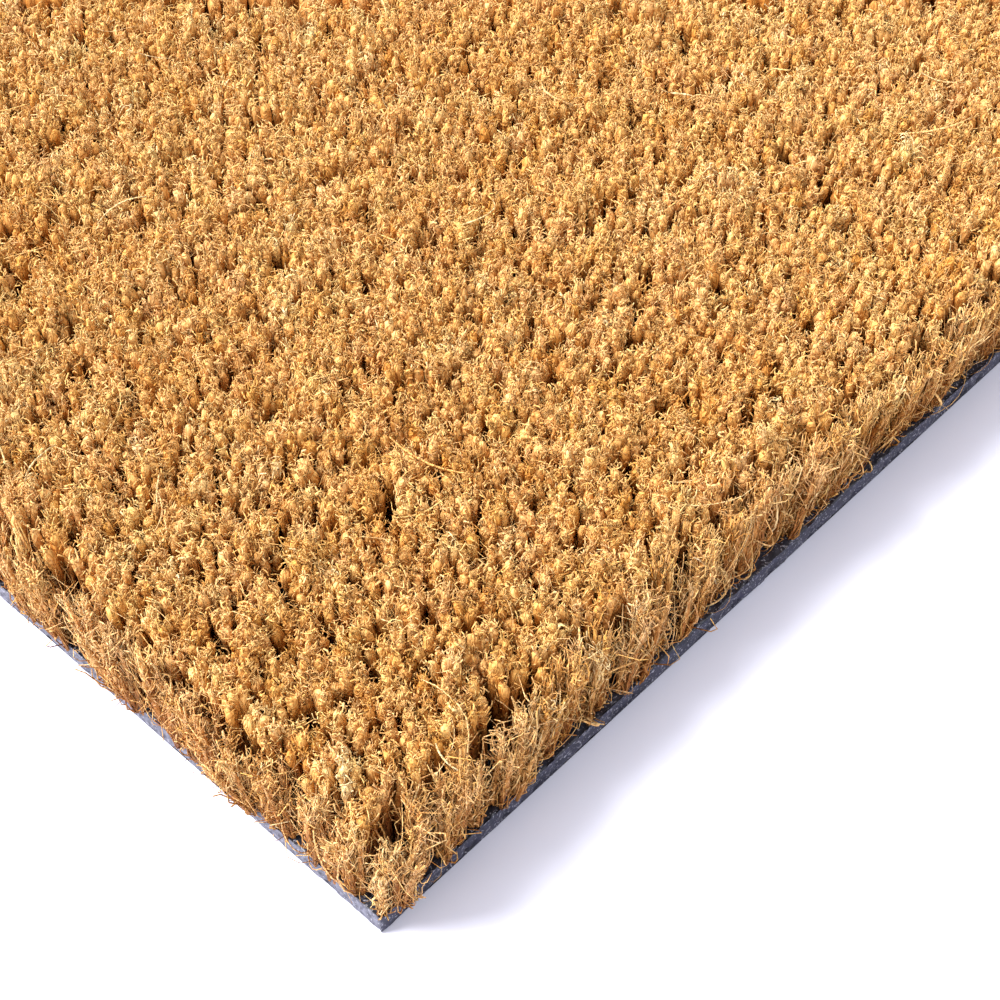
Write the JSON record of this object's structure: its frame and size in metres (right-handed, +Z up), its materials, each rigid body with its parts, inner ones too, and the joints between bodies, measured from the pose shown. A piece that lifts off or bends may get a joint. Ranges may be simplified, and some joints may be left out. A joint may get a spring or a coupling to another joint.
{
  "type": "door mat",
  "caption": "Rectangular coir door mat: dense rows of cropped coconut-fibre tufts set in a flat vinyl backing sheet with square-cut edges.",
  "frame": {"origin": "centre of the underside, on the floor that the mat lies on", "axes": "+X along the long side and along the tuft rows, +Y along the short side, +Z up out of the pile"},
  "size_m": [0.6, 0.4, 0.017],
  "materials": {
    "vinyl": "cast vinyl, blue-black, slightly rough where it is cut, satin underneath",
    "coir": "natural golden-brown coconut fibre, cropped level, dry and slightly glossy"
  },
  "bodies": {
    "root": {"vinyl_backing": "vinyl", "tuft_rows_01": "coir", "tuft_rows_02": "coir", "tuft_rows_03": "coir", "tuft_rows_04": "coir", "tuft_rows_05": "coir", "tuft_rows_06": "coir", "tuft_rows_07": "coir", "tuft_rows_08": "coir", "tuft_rows_09": "coir", "tuft_rows_10": "coir", "tuft_rows_11": "coir", "tuft_rows_12": "coir", "tuft_rows_13": "coir", "tuft_rows_14": "coir", "tuft_rows_15": "coir", "tuft_rows_16": "coir", "tuft_rows_17": "coir", "tuft_rows_18": "coir", "tuft_rows_19": "coir", "tuft_rows_20": "coir", "tuft_rows_21": "coir", "tuft_rows_22": "coir", "tuft_rows_23": "coir", "tuft_rows_24": "coir", "tuft_rows_25": "coir", "tuft_rows_26": "coir", "tuft_rows_27": "coir", "tuft_rows_28": "coir", "tuft_rows_29": "coir", "tuft_rows_30": "coir", "tuft_rows_31": "coir", "tuft_rows_32": "coir", "tuft_rows_33": "coir", "tuft_rows_34": "coir", "tuft_rows_35": "coir", "tuft_rows_36": "coir"}
  },
  "joints": []
}
